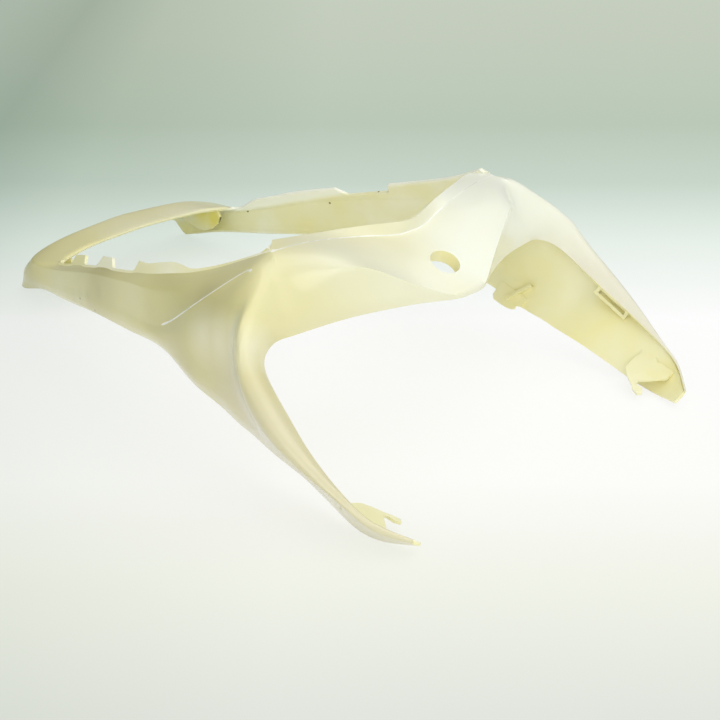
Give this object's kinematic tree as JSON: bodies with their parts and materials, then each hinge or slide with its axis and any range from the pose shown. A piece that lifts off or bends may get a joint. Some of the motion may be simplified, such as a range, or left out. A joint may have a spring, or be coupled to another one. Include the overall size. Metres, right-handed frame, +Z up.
{
  "type": "motorcycle tail fairing",
  "caption": "One-piece moulded tail fairing: wide seat loop with open rear, bridge with a seat lock hole, and two arms with turned-in lower walls.",
  "frame": {"origin": "middle of the bounding box at the height of the rest plane", "axes": "+X forward, from the rear lip to the arm tips; +Y across; +Z up"},
  "size_m": [0.5321, 0.356, 0.1499],
  "materials": {
    "abs_skin": "pearl white ABS, yellowed and glossy"
  },
  "bodies": {
    "root": {"tail_fairing": "abs_skin"}
  },
  "joints": []
}
